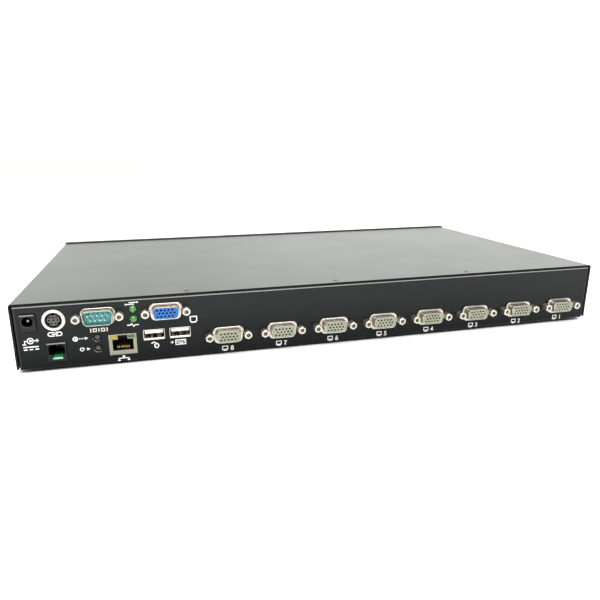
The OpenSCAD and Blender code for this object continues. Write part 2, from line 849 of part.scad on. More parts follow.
module port_leds() {
    dome_y = bezel_y + 1.6;
    color([0.3, 0.6, 0.3]) in_case() for (n = [1:8], s = [-1, 1])
        translate([button_x(n) + s * front_led_dx, 0, front_led_z]) {
            rod_y(0, 0, dome_y, front_board_y, front_led_r);
            translate([0, dome_y, 0]) sphere(front_led_r);
        }
}

// ---- on the boards ----

// Flat cable folded from the front board's header down to the main board's.
module ribbon_cable() {
    width = 26;
    x_low = -90;
    t = 0.9;
    start_y = front_board_y + board_t;
    z_high = 20;
    out_y = start_y + 14;
    in_z = main_top + 8;
    bend = 5;
    color([0.55, 0.55, 0.56]) in_case() {
        translate([x_low + width, 0, 0]) rotate([90, 0, -90]) linear_extrude(width) scale([-1, 1]) union() {
            translate([start_y + 7, z_high - t / 2]) square([out_y - start_y - 7, t]);
            translate([out_y, z_high - bend]) intersection() {
                difference() {
                    circle(bend + t / 2);
                    circle(bend - t / 2);
                }
                square(20);
            }
            translate([out_y + bend - t / 2, in_z]) square([t, z_high - bend - in_z]);
        }
        block([x_low - 1, start_y, z_high - 3], [x_low + width + 1, start_y + 7, z_high + 3]);
        block([x_low - 1, out_y + bend - 3, main_top], [x_low + width + 1, out_y + bend + 3, in_z]);
    }
}

module heat_sink() {
    x = 150;
    y = 35;
    side = 36;
    fins = 9;
    base_z = ip_top + 1.8;
    color([0.12, 0.12, 0.13]) in_case() {
        block([x - side / 2, y - side / 2, base_z], [x + side / 2, y + side / 2, base_z + 2]);
        for (i = [0:fins - 1]) translate([x - side / 2 + i * (side - 1.2) / (fins - 1), y - side / 2, base_z + 1.9])
            cube([1.2, side, 9]);
    }
}

// A square or oblong chip package standing on a board; gap is the space its leads leave under it.
module chip(x, y, z, w, d, h) {
    block([x - w / 2, y - d / 2, z], [x + w / 2, y + d / 2, z + h]);
}

module chips() {
    color([0.06, 0.06, 0.07]) in_case() {
        for (n = [1:8]) chip(port_x(n), 62, main_top, 14, 14, 1.4);
        chip(-60, 5, main_top, 28, 28, 2.2);
        chip(20, 5, main_top, 20, 20, 1.6);
        chip(150, 35, ip_top, 31, 31, 1.8);
        for (y = [22, 48]) chip(185, y, ip_top, 12, 22, 1.2);
        chip(113, 40, ip_top, 16, 16, 1.2);
    }
}

module capacitors() {
    color([0.1, 0.12, 0.3]) in_case() {
        for (x = [20, 34, 48]) translate([x, -40, main_top]) cylinder(h = 11.5, r = 4);
        for (y = [8, 20]) translate([75, y, main_top]) cylinder(h = 16, r = 5);
        for (x = [180, 190]) translate([x, 5, ip_top]) cylinder(h = 10, r = 4);
    }
}

module buzzer() {
    color([0.05, 0.05, 0.05]) in_case() translate([-120, -40, main_top]) difference() {
        cylinder(h = 9, r = 6);
        translate([0, 0, 7]) cylinder(h = 3, r = 1);
    }
}

base_pan();
top_cover();
front_bezel();
case_screws();
rubber_feet();
main_board();
ip_board();
front_board();
standoffs();
board_screws();
dc_jack_housing();
dc_jack_pin();
link_shield();
link_insert();
console_jack();
console_contacts();
console_board();
serial_shell();
serial_insulator();
serial_pins();
monitor_shell();
monitor_insulator();
for (n = [1:8]) pc_port_shell(n);
pc_port_insulators();
jackscrews();
lan_shield();
lan_housing();
lan_contacts();
lan_led_amber();
lan_led_green();
usb_shells();
usb_tongues();
usb_contacts();
status_leds();
led_holder();
rear_button(setup_z);  // setup_button
rear_button(reset_z);  // reset_button
rear_switches();
for (n = [1:8]) port_button(n);
port_switches();
port_leds();
ribbon_cable();
heat_sink();
chips();
capacitors();
buzzer();
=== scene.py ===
"""Looks of an eight-port keyboard, video and mouse switch.

It sets the studio, camera and materials. It adds the panel print, the formed metal fronts, the
network contacts and the moulded edges of two sockets. Lengths in the helpers are millimetres.
Places are in the shared frame: +Z up, sockets facing +Y.
"""
import json
import math

import bmesh
import bpy
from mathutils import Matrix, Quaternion, Vector


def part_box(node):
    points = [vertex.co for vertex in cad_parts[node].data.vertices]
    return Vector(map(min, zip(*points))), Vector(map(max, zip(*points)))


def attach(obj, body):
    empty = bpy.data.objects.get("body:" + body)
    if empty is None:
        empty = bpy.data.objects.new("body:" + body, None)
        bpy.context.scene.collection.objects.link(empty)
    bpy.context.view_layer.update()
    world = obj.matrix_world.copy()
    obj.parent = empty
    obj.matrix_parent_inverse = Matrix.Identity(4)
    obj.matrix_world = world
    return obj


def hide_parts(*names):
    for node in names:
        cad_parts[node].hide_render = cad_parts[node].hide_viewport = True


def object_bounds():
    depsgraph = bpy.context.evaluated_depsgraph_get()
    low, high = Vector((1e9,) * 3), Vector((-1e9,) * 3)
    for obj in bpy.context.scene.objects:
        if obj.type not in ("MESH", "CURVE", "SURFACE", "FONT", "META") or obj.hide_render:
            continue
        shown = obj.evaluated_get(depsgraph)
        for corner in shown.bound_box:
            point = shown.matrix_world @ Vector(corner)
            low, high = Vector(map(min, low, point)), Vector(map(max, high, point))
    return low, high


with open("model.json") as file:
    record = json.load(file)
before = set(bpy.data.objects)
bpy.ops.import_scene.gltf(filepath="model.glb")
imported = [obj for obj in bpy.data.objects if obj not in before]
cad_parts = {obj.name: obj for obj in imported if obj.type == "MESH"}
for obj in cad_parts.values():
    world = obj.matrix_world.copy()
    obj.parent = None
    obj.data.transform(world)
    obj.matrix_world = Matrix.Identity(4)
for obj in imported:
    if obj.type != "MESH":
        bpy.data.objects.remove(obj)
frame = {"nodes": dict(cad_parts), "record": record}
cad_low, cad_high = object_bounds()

MM = 0.001

panel_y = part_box("base_pan")[1].y / MM
bezel_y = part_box("front_bezel")[0].y / MM
case_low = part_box("base_pan")[0].z / MM


def middle(node):
    """Middle of a CAD node's box, in millimetres."""
    low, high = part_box(node)
    return (low + high) / 2 / MM


# ---- materials ----


class Finish:
    """A procedural material. Patterns use object coordinates, so their sizes are real millimetres."""

    def __init__(self, name, fixed=None):
        self.material = bpy.data.materials.new(name)
        self.material.use_nodes = True
        self.tree = self.material.node_tree
        self.shader = self.tree.nodes["Principled BSDF"]
        for socket, value in (fixed or {}).items():
            self.shader.inputs[socket].default_value = value
        self.point = self.node("TexCoord", {}).outputs["Object"]

    def node(self, kind, inputs, **settings):
        """A new node. An input given as a socket is linked, and anything else is its value."""
        node = self.tree.nodes.new("ShaderNode" + kind)
        for setting, value in settings.items():
            setattr(node, setting, value)
        for key, value in inputs.items():
            if isinstance(value, bpy.types.NodeSocket):
                self.tree.links.new(value, node.inputs[key])
            else:
                node.inputs[key].default_value = value
        return node

    def math(self, operation, first, second=0.0, third=0.0):
        return self.node("Math", {0: first, 1: second, 2: third}, operation=operation).outputs[0]

    def scaled(self, size, stretch=(1, 1, 1)):
        """The surface point in units of size millimetres, drawn out where stretch is over 1."""
        scale = [1 / (size * MM * s) for s in stretch]
        return self.node("VectorMath", {0: self.point, 1: scale}, operation="MULTIPLY").outputs[0]

    def place(self, axis, size=1):
        """Where the surface point is along an axis, in units of size millimetres."""
        return self.node("SeparateXYZ", {"Vector": self.scaled(size)}).outputs[axis]

    def facing(self, axis):
        """How far the surface faces along an axis, from -1 to 1."""
        normal = self.node("NewGeometry", {}).outputs["Normal"]
        return self.node("SeparateXYZ", {"Vector": normal}).outputs[axis]

    def times(self, first, *others):
        """The product of values. For masks of 0 and 1, it is where all of them hold."""
        for other in others:
            first = self.math("MULTIPLY", first, other)
        return first

    def noise(self, size, detail=2.0, stretch=(1, 1, 1)):
        vector = self.scaled(size, stretch)
        return self.node("TexNoise", {"Vector": vector, "Scale": 1.0, "Detail": detail}).outputs["Fac"]

    def ramp(self, value, first, second, start=0.35, end=0.65):
        """Colour that goes from first to second as value goes from start to end."""
        node = self.node("ValToRGB", {"Fac": value})
        stops = node.color_ramp.elements
        stops[0].position, stops[1].position = start, end
        stops[0].color, stops[1].color = (*first, 1), (*second, 1)
        return node.outputs["Color"]

    def color(self, value, first, second, start=0.35, end=0.65):
        self.wire(self.ramp(value, first, second, start, end), "Base Color")

    def two_tone(self, mask, under, over):
        """Colour that is over where the mask is 1, and under where it is 0."""
        # The node's sockets 0, 6 and 7 are its factor and two colours, and output 2 is the colour.
        mixed = self.node("Mix", {0: mask, 6: under, 7: (*over, 1)}, data_type="RGBA")
        self.wire(mixed.outputs[2], "Base Color")

    def span(self, value, low, high, start=0.35, end=0.65):
        """A number that goes from low to high as value goes from start to end."""
        inputs = {"Value": value, "From Min": start, "From Max": end, "To Min": low, "To Max": high}
        return self.node("MapRange", inputs).outputs["Result"]

    def roughness(self, value, low, high):
        self.wire(self.span(value, low, high), "Roughness")

    def bump(self, height, depth, strength=1.0):
        """Relief: depth is how many millimetres a height of 1 stands for."""
        inputs = {"Height": height, "Distance": depth * MM, "Strength": strength}
        self.wire(self.node("Bump", inputs).outputs["Normal"], "Normal")

    def wire(self, output, socket):
        self.tree.links.new(output, self.shader.inputs[socket])


def shade(color, factor):
    return tuple(min(1.0, channel * factor) for channel in color)


def coat_relief(look):
    """The fine orange peel of baked powder paint."""
    peel = look.math("ADD", look.noise(0.45), look.times(look.noise(1.6), 0.6))
    look.bump(peel, 0.01, 0.5)


def moulded(name, color, rough=(0.42, 0.56), grain=0.18, drift=0.12, fixed=None):
    """Moulded plastic: spark-eroded grain, and a slight drift of colour and gloss."""
    look = Finish(name, fixed)
    look.color(look.noise(5, detail=4), shade(color, 1 - drift), shade(color, 1 + drift))
    look.roughness(look.noise(2.5, detail=3), *rough)
    look.bump(look.noise(grain, detail=3), 0.01, 0.5)
    return look.material


def plated(name, color, rough=(0.12, 0.26), drawn=(1, 1, 1)):
    """Bright plating over pressed or turned metal: faint draw lines and uneven gloss."""
    look = Finish(name, {"Metallic": 1.0})
    look.color(look.noise(1.5, detail=4), shade(color, 0.86), color)
    look.roughness(look.noise(0.9, detail=4), *rough)
    look.bump(look.noise(0.3, stretch=drawn), 0.002, 0.3)
    return look.material


def contact_plastic(name, color, face_node, shallow=0.12):
    """Moulding with painted shade in its contact holes: black from a shallow depth in millimetres down."""
    look = Finish(name)
    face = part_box(face_node)[1].y / MM
    # Painted shade: below that shallow depth the moulding is painted near black.
    deep = look.math("LESS_THAN", look.place("Y"), face - shallow)
    skin = look.ramp(look.noise(5, detail=4), shade(color, 0.88), shade(color, 1.12))
    look.two_tone(deep, skin, (0.004, 0.004, 0.005))
    look.roughness(look.noise(2.5, detail=3), 0.3, 0.42)
    look.bump(look.noise(0.18, detail=3), 0.01, 0.5)
    return look.material


def lens(name, dark, light, coat=1.0):
    """Tinted clear plastic, its tint a little uneven."""
    look = Finish(name, {
        "IOR": 1.5, "Coat Weight": coat, "Coat Roughness": 0.05, "Transmission Weight": 0.25,
    })
    look.color(look.noise(1.1, detail=2), dark, light)
    look.roughness(look.noise(0.6), 0.12, 0.22)
    look.bump(look.noise(0.3), 0.004, 0.3)
    return look.material


def rubbed_bends(look, x, y, z):
    """Mask of a painted highlight: a pale line along the socket panel's top bend, fainter along its two
    side bends.
    """
    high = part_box("base_pan")[1] / MM
    # How strong the painted highlight is, and its share along the side bends.
    highlight_strength, side_share = 0.48, 0.1
    top = look.math("COMPARE", z, high.z - 1.15, 0.3)
    side = look.math("COMPARE", look.math("ABSOLUTE", x), high.x - 0.9, 0.35)
    highlit_bends = look.math("MAXIMUM", top, look.times(side, side_share))
    return look.times(highlit_bends, highlight_strength, look.math("GREATER_THAN", y, high.y - 1.2))


def rubbed_holes(look, x, y, z):
    """Mask of a painted highlight on the walls of the two button holes in the socket panel."""
    upper, lower = middle("setup_button"), middle("reset_button")
    return look.times(
        look.math("COMPARE", x, upper.x, 2.7),
        look.math("COMPARE", z, (upper.z + lower.z) / 2, 7),
        look.math("COMPARE", y, panel_y - 0.6, 0.45),
    )


def pan_paint():
    """Black powder coat, with painted shade that makes it darker towards the bottom and greyer towards the
    top.

    It has painted highlights: a pale line along the panel's top and side bends, and pale walls in its two
    button holes.
    """
    look = Finish("pan_paint", {"Specular IOR Level": 0.15})
    x, y, z = (look.place(axis) for axis in "XYZ")
    # Painted shade: the colour runs from near black at the bottom to grey at the top, with a slow random
    # drift over it.
    drift = look.math("ADD", look.span(z, 0, 1, 4, 40), look.times(look.noise(60), 0.15))
    coat = look.ramp(drift, (0.0002, 0.0024, 0.0024), (0.0105, 0.0131, 0.0125), 0.05, 0.95)
    # Painted highlights: a pale line along the panel's bends, and pale walls in its two button holes.
    pale = look.math("MAXIMUM", rubbed_bends(look, x, y, z), rubbed_holes(look, x, y, z))
    look.two_tone(pale, coat, (0.5, 0.52, 0.5))
    look.roughness(look.noise(18, detail=2), 0.28, 0.32)
    coat_relief(look)
    return look.material


def cover_paint():
    """The same coat with more gloss, and painted shade: matt black on the cut edges at the two ends."""
    look = Finish("cover_paint", {"Specular IOR Level": 0.34})
    # Painted shade: the cut edges facing along Y are painted near black, and made matt.
    edge = look.math("GREATER_THAN", look.math("ABSOLUTE", look.facing("Y")), 0.8)
    coat = look.ramp(look.noise(90), (0.028, 0.03, 0.025), (0.032, 0.034, 0.029))
    look.two_tone(edge, coat, (0.001, 0.001, 0.001))
    face_rough = look.span(look.noise(40, detail=1), 0.36, 0.38)
    edge_rough = 0.9
    look.wire(look.math("MAXIMUM", face_rough, look.times(edge, edge_rough)), "Roughness")
    coat_relief(look)
    return look.material


def bezel_plastic():
    return moulded("bezel_plastic", (0.03, 0.032, 0.034), (0.46, 0.5), grain=0.35, drift=0.03)


def black_screw():
    look = Finish("black_screw", {"Metallic": 0.6})
    look.color(look.noise(0.8, detail=4), (0.03, 0.03, 0.032), (0.075, 0.075, 0.078))
    look.roughness(look.noise(0.5, detail=3), 0.3, 0.5)
    look.bump(look.noise(0.15), 0.008, 0.5)
    return look.material


def foot_rubber():
    look = Finish("foot_rubber", {"Specular IOR Level": 0.3})
    look.color(look.noise(1.2, detail=5), (0.014, 0.014, 0.014), (0.028, 0.027, 0.026))
    look.roughness(look.noise(2), 0.7, 0.85)
    look.bump(look.noise(0.25, detail=3), 0.03, 0.6)
    return look.material


def circuit_board():
    """Solder mask over copper tracks 1.27 mm apart, with tinned pads."""
    look = Finish("circuit_board", {"Coat Weight": 0.3, "Coat Roughness": 0.15})
    cells = look.node("TexBrick", {
        "Vector": look.scaled(2.54), "Color1": (0, 0, 0, 1), "Color2": (0.25, 0.25, 0.25, 1),
        "Mortar": (1, 1, 1, 1), "Scale": 1.0, "Mortar Size": 0.09, "Brick Width": 3.5, "Row Height": 0.5,
    }).outputs["Color"]
    pads = look.node("TexVoronoi", {"Vector": look.scaled(3.6), "Scale": 1.0}).outputs["Distance"]
    pad = look.math("LESS_THAN", pads, 0.14)
    mask = look.ramp(cells, (0.006, 0.07, 0.028), (0.02, 0.15, 0.06), 0.1, 0.9)
    look.two_tone(pad, mask, (0.62, 0.62, 0.58))
    look.roughness(look.noise(3), 0.28, 0.4)
    look.bump(cells, 0.03, 0.5)
    return look.material


def handset_board():
    """Green solder mask, with pale bare laminate along the front edge."""
    look = Finish("handset_board", {"Coat Weight": 0.3, "Coat Roughness": 0.15})
    edge = look.math("GREATER_THAN", look.facing("Y"), 0.5)
    mask = look.ramp(look.noise(0.7, detail=3), (0.01, 0.2, 0.08), (0.06, 0.42, 0.2))
    look.two_tone(edge, mask, (0.5, 0.8, 0.6))
    look.roughness(look.noise(1), 0.28, 0.4)
    return look.material


def post_brass():
    return plated("post_brass", (0.78, 0.56, 0.25), (0.22, 0.36))


def zinc_screw():
    return plated("zinc_screw", (0.72, 0.74, 0.78), (0.25, 0.4))


def nickel():
    return plated("nickel", (0.6, 0.565, 0.5), (0.3, 0.42), drawn=(6, 1, 1))


def jackscrew_nickel():
    return plated("jackscrew_nickel", (0.68, 0.64, 0.57), (0.34, 0.46), drawn=(1, 5, 1))


def black_plastic():
    dull = {"Specular IOR Level": 0.3}
    return moulded("black_plastic", (0.003, 0.0038, 0.0036), (0.28, 0.38), fixed=dull)


def grey_insert():
    return contact_plastic("grey_insert", (0.06, 0.06, 0.06), "link_insert", 0.35)


def teal_plastic():
    return moulded("teal_plastic", (0.07, 0.4, 0.44), (0.12, 0.22))


def blue_plastic():
    return contact_plastic("blue_plastic", (0.002, 0.1, 0.36), "monitor_insulator")


def port_plastic():
    return contact_plastic("port_plastic", (0.25, 0.265, 0.19), "pc_port_insulators")


def usb_plastic():
    return moulded("usb_plastic", (0.7, 0.68, 0.64), (0.35, 0.5))


def gold_contact():
    return plated("gold_contact", (0.95, 0.7, 0.3), (0.3, 0.45), drawn=(1, 6, 1))


def amber_lens():
    return lens("amber_lens", (0.38, 0.27, 0.004), (0.55, 0.42, 0.01), 0.1)


def green_lens():
    return lens("green_lens", (0.03, 0.16, 0.03), (0.07, 0.32, 0.06))


def button_grey():
    return moulded("button_grey", (0.06, 0.057, 0.05))


def port_button_grey():
    return moulded("port_button_grey", (0.16, 0.17, 0.18))


def ribbon_grey():
    """Flat cable: 1.27 mm conductors side by side, with faint gloss along each."""
    look = Finish("ribbon_grey", {"Sheen Weight": 0.1})
    across = look.place("X", 1.27)
    ridge = look.math("ABSOLUTE", look.math("SINE", look.times(across, math.pi)))
    look.color(ridge, (0.2, 0.2, 0.21), (0.38, 0.38, 0.4), 0.1, 0.7)
    look.roughness(look.noise(2), 0.4, 0.5)
    look.bump(ridge, 0.2, 0.6)
    return look.material


def black_aluminium():
    look = Finish("black_aluminium", {"Metallic": 0.7})
    look.color(look.noise(2, detail=4), (0.02, 0.02, 0.022), (0.05, 0.05, 0.053))
    look.roughness(look.noise(1.5), 0.35, 0.5)
    look.bump(look.noise(0.15, stretch=(1, 14, 1)), 0.01, 0.6)
    return look.material


def chip_black():
    return moulded("chip_black", (0.022, 0.022, 0.024), (0.5, 0.65), grain=0.1)


def capacitor_sleeve():
    """Dark shrink sleeve, with bare aluminium on the faces that point up."""
    look = Finish("capacitor_sleeve")
    up = look.math("GREATER_THAN", look.facing("Z"), 0.8)
    sleeve = look.ramp(look.noise(4), (0.008, 0.012, 0.05), (0.016, 0.024, 0.085))
    look.two_tone(up, sleeve, (0.75, 0.75, 0.76))
    look.roughness(look.noise(2), 0.22, 0.35)
    look.bump(look.noise(0.8), 0.01, 0.4)
    return look.material


def print_ink():
    """White silk-screen ink, a little thin in places."""
    look = Finish("print_ink")
    look.color(look.noise(0.5, detail=4), (0.8, 0.8, 0.79), (0.9, 0.9, 0.89))
    look.roughness(look.noise(1), 0.45, 0.6)
    look.bump(look.noise(0.12), 0.004, 0.4)
    return look.material


def tin_plate():
    return plated("tin_plate", (0.3, 0.295, 0.225), (0.28, 0.42))


def bright_tin():
    return plated("bright_tin", (0.84, 0.8, 0.72), (0.36, 0.5))


def usb_tin():
    """Bright tin, with painted shade on the shells' inner floors round their spring leaves, in place of
    cut-outs there.
    """
    look = Finish("usb_tin", {"Metallic": 1.0})
    low, high = (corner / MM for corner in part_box("usb_shells"))
    flare, floor_depth = 0.7, 5.6
    leaf_start, leaf_pitch, leaf_width = 6.5, 4.4, 1.8
    upward = look.math("GREATER_THAN", look.facing("Z"), 0.7)
    inside = look.math("LESS_THAN", look.place("Y"), high.y - flare)
    on_floor = look.math("COMPARE", look.place("Z"), high.z - floor_depth, 0.3)
    along = look.math("SUBTRACT", look.place("X"), low.x + leaf_start)
    off_middle = look.math("PINGPONG", along, leaf_pitch / 2)
    leaf = look.math("LESS_THAN", off_middle, leaf_width / 2)
    # Painted shade: the inner floors are painted near black round the spring leaves.
    dark = look.times(upward, inside, on_floor, look.math("SUBTRACT", 1.0, leaf))
    skin = look.ramp(look.noise(1.5, detail=4), (0.72, 0.69, 0.62), (0.84, 0.8, 0.72))
    look.two_tone(dark, skin, (0.012, 0.011, 0.01))
    look.roughness(look.noise(0.9, detail=4), 0.34, 0.48)
    return look.material


LOOKS = {look.__name__: look for look in (
    pan_paint, cover_paint, bezel_plastic, black_screw, foot_rubber, circuit_board, post_brass, zinc_screw,
    nickel, jackscrew_nickel, black_plastic, grey_insert, teal_plastic, blue_plastic, port_plastic,
    usb_plastic, gold_contact, amber_lens, green_lens, button_grey, port_button_grey, ribbon_grey,
    black_aluminium, chip_black, capacitor_sleeve,
)}
materials = {name: look() for name, look in LOOKS.items()}
ink = print_ink()


# ---- the carried-over CAD nodes ----

# Width in millimetres of the broken edges of each finish. The others get PLAIN_EDGE.
EDGE = {
    "pan_paint": 0.12, "cover_paint": 0.15, "bezel_plastic": 0.35, "foot_rubber": 0.3, "nickel": 0.07,
    "jackscrew_nickel": 0.08, "port_button_grey": 0.25, "button_grey": 0.2, "black_plastic": 0.12,
}
PLAIN_EDGE = 0.05


# Edges with a greater angle than this are sharp.
SHARP = math.radians(35)


def soften(node, width):
    """Breaks a CAD node's sharp edges and shades its curved faces smoothly."""
    weld = node.modifiers.new("weld", "WELD")
    weld.merge_threshold = 0.002 * MM
    flat = node.modifiers.new("flat", "DECIMATE")
    flat.decimate_type = "DISSOLVE"
    flat.angle_limit = math.radians(0.2)
    bevel = node.modifiers.new("bevel", "BEVEL")
    bevel.limit_method = "ANGLE"
    bevel.angle_limit = SHARP
    bevel.width = width * MM
    bevel.segments = 2
    bevel.use_clamp_overlap = False
    bevel.harden_normals = True


# Nodes whose material differs from the rest of their slot.
bright = bright_tin()
OTHER = {
    "lan_shield": tin_plate(), "usb_shells": usb_tin(), "serial_pins": bright, "link_shield": bright,
    "console_board": handset_board(),
    "lan_led_green": lens("deep_green_lens", (0.008, 0.09, 0.02), (0.015, 0.16, 0.035), 0.1),
}
# Widths of broken edges for single nodes.
NODE_EDGE = {"lan_housing": 0.03, "lan_shield": 0.05, "console_jack": 0.3, "dc_jack_housing": 0.1}
# Nodes with domes or fine curves, whose facets are fine enough as they are.
ROUND = {"dc_jack_pin", "serial_pins", "capacitors", "buzzer", "status_leds", "port_leds"}

for part in frame["record"]["subparts"]:
    name = part["node"]
    finish_name = part["material_slot"]
    cad_node = frame["nodes"][name]
    cad_node.data.materials.clear()
    cad_node.data.materials.append(OTHER.get(name, materials[finish_name]))
    if name in ROUND:
        cad_node.data.shade_smooth()
        cad_node.data.set_sharp_from_angle(angle=math.radians(40))
    else:
        soften(cad_node, NODE_EDGE.get(name, EDGE.get(finish_name, PLAIN_EDGE)))


# ---- mesh helpers ----


def finished_piece(name, points, faces, material, body="chassis"):
    """A closed mesh from points in millimetres, smooth except at sharp edges, that rides on body."""
    mesh = bpy.data.meshes.new(name)
    mesh.from_pydata([Vector(p) * MM for p in points], [], faces)
    solid = bmesh.new()
    solid.from_mesh(mesh)
    bmesh.ops.recalc_face_normals(solid, faces=solid.faces)
    solid.to_mesh(mesh)
    solid.free()
    mesh.shade_smooth()
    mesh.set_sharp_from_angle(angle=SHARP)
    mesh.materials.append(material)
    piece = bpy.data.objects.new(name, mesh)
    bpy.context.scene.collection.objects.link(piece)
    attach(piece, body)
    return piece


def outline(width, height, radius, lean=0.0, steps=8):
    """A rounded rectangle in X and Z. Its sides lean in towards the bottom by lean degrees."""
    top = width / 2 - radius
    foot = top - (height - 2 * radius) * math.tan(math.radians(lean))
    up = height / 2 - radius
    corners = (
        (top, up, -lean, 90), (-top, up, 90, 180 + lean),
        (-foot, -up, 180 + lean, 270), (foot, -up, 270, 360 - lean),
    )
    points = []
    for x, z, start, end in corners:
        for i in range(steps + 1):
            angle = math.radians(start + (end - start) * i / steps)
            points.append((x + radius * math.cos(angle), z + radius * math.sin(angle)))
    return points


def loop_faces(rings, around):
    """Quads of a closed skin over rings of points, whose last ring joins the first."""
    faces = []
    for a in range(rings):
        b = (a + 1) % rings
        for i in range(around):
            j = (i + 1) % around
            faces.append((a * around + i, a * around + j, b * around + j, b * around + i))
    return faces


def edge_steps(top, soft, count, inner=False):
    """The (y, inset) pairs of an edge rounded by soft at y = top, in count steps.

    They go up an outer wall, or down an inner one, where the insets are negative.
    """
    turns = [math.radians(90 * i / count) for i in range(count + 1)]
    steps = [(top - soft * (1 - math.sin(a)), soft * (1 - math.cos(a))) for a in turns]
    if inner:
        return [(y, -inset) for y, inset in reversed(steps)]
    return steps


def turned(name, x, z, profile, material, steps=40):
    """A piece of revolution about the line along Y through x, z.

    The profile is a closed loop of (radius, y) pairs.
    """
    points = []
    for radius, y in profile:
        for i in range(steps):
            angle = 2 * math.pi * i / steps
            points.append((x + radius * math.cos(angle), y, z + radius * math.sin(angle)))
    return finished_piece(name, points, loop_faces(len(profile), steps), material)


# ---- D connector fronts ----

# The lean of the shells' sides in degrees, the widths of wall and groove, and how round the edges are.
D_LEAN = 10
D_WALL = 0.4
D_GROOVE = 0.35
RIM_SOFT = 0.5
GROOVE_SOFT = 0.12
SHELL_SOFT = 0.18


def d_front(node, shell, shell_r=2.6, rim=(20.3, 11.1), rim_r=3.2):
    """Pressed front of a D connector: flange, raised rim with a soft edge, groove and rolled shell."""
    low, high = (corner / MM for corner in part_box(node))
    place = middle(node)
    crest = panel_y + 0.9
    groove_y = panel_y - 0.4
    flange_y = low.y + 0.8
    flange, flange_r = (high.x - low.x, high.z - low.z), 1
    groove = [side + 2 * D_GROOVE for side in shell]
    mouth = [side - 2 * D_WALL for side in shell]

    def ring(size, radius, y, inset=0.0, lean=D_LEAN):
        edge = outline(size[0] - 2 * inset, size[1] - 2 * inset, radius - inset, lean)
        return [(place.x + u, y, place.z + v) for u, v in edge]

    def rounded(size, radius, top, soft, inner=False):
        return [ring(size, radius, y, inset) for y, inset in edge_steps(top, soft, 3, inner)]

    rings = [
        ring(mouth, shell_r - D_WALL, low.y),
        ring(flange, flange_r, low.y, lean=0),
        ring(flange, flange_r, flange_y, lean=0),
        ring(rim, rim_r, flange_y),
        *rounded(rim, rim_r, crest, RIM_SOFT),
        *rounded(groove, shell_r + D_GROOVE, crest, GROOVE_SOFT, inner=True),
        ring(groove, shell_r + D_GROOVE, groove_y),
        ring(shell, shell_r, groove_y),
        *rounded(shell, shell_r, high.y, SHELL_SOFT),
        *rounded(mouth, shell_r - D_WALL, high.y, SHELL_SOFT, inner=True),
    ]
    points = [point for one in rings for point in one]
    faces = loop_faces(len(rings), len(rings[0]))
    piece = finished_piece(node + "_front", points, faces, materials["nickel"])
    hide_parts(node)


# Widths and heights of the shells of sockets and of plugs.
FEMALE = (16.3, 7.9)
MALE = (17.9, 9.3)
PORTS = range(1, 9)

for port in PORTS:
    d_front(f"pc_port_shell_{port}", FEMALE)
d_front("monitor_shell", FEMALE)
d_front("serial_shell", MALE)


# ---- moulded fronts of the power jack and the handset socket ----


def lip(name, node, inset):
    """A bevelled lip along the top of a housing's front face, inset from its sides."""
    low, high = (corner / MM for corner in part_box(node))
    back, crease, front = high.y - 0.1, high.y + 0.05, high.y + 0.55
    top, tip, bottom = high.z - 0.05, high.z - 0.72, high.z - 0.8
    section = [(back, top), (back, bottom), (front, bottom), (front, tip), (crease, top)]
    points = [(x, y, z) for x in (low.x + inset, high.x - inset) for y, z in section]
    count = len(section)
    faces = [tuple(range(count)), tuple(range(count, 2 * count))]
    faces += [(i, (i + 1) % count, (i + 1) % count + count, i + count) for i in range(count)]
    finished_piece(name, points, faces, lip_gloss)


def jack_collar():
    """The rounded collar round the power jack's hole."""
    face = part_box("dc_jack_housing")[1].y / MM
    place = middle("dc_jack_pin")
    root, crest = face - 1, face + 0.3
    outer, inner, soft = 3.85, 3.1, 0.35
    profile = [(inner, root), (outer, root)]
    profile += [(outer - inset, y) for y, inset in edge_steps(crest, soft, 6)]
    profile += [(inner - inset, y) for y, inset in edge_steps(crest, soft, 6, inner=True)]
    turned("dc_jack_collar", place.x, place.z, profile, lip_gloss)


lip_gloss = moulded("lip_gloss", (0.004, 0.005, 0.005), (0.16, 0.24), grain=0.4)
lip("dc_jack_lip", "dc_jack_housing", 0.6)
lip("console_jack_lip", "console_jack", 0.2)
jack_collar()


# ---- sprung contacts ----


def tube(path, radius, sides=10):
    """Points and faces of a round wire, with flat ends, along a path in a plane of constant X."""
    points = []
    across = Vector((1, 0, 0))
    for i, (x, y, z) in enumerate(path):
        before, after = path[max(i - 1, 0)], path[min(i + 1, len(path) - 1)]
        way = Vector((0, after[1] - before[1], after[2] - before[2])).normalized()
        side = Vector((0, -way.z, way.y))
        for k in range(sides):
            angle = 2 * math.pi * k / sides
            arm = math.cos(angle) * across + math.sin(angle) * side
            points.append(Vector((x, y, z)) + radius * arm)
    faces = loop_faces(len(path), sides)[:-sides]
    faces.append(tuple(range(sides)))
    faces.append(tuple(range(len(points) - sides, len(points))))
    return points, faces


def network_contacts():
    """Eight wires that come down to the network socket's mouth and turn under in a round nose."""
    low, high = (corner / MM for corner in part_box("lan_contacts"))
    radius, nose, pitch = 0.24, 0.75, 1.02
    points, faces = [], []
    for i in range(8):
        x = (low.x + high.x) / 2 + pitch * (i - 3.5)
        turns = [math.radians(110 - 20 * k) for k in range(8)]
        middle_y, middle_z = high.y - nose - radius, low.z + nose + radius
        bend = [(x, middle_y + nose * math.cos(a), middle_z + nose * math.sin(a)) for a in turns]
        path = [(x, low.y + 0.3, high.z - radius)] + bend
        wire_points, wire_faces = tube(path, radius)
        faces += [tuple(len(points) + k for k in face) for face in wire_faces]
        points += wire_points
    gold = materials["gold_contact"]
    piece = finished_piece("lan_contact_wires", points, faces, gold)
    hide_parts("lan_contacts")


network_contacts()


# ---- print on the socket panel ----


# The ink's back and front, out from the panel's surface.
INK_BACK = -0.02
INK_FRONT = 0.03


def rectangle(u, v, width, height):
    """Corners of an upright rectangle with its middle at u, v."""
    w, h = width / 2, height / 2
    return [(u - w, v - h), (u + w, v - h), (u + w, v + h), (u - w, v + h)]


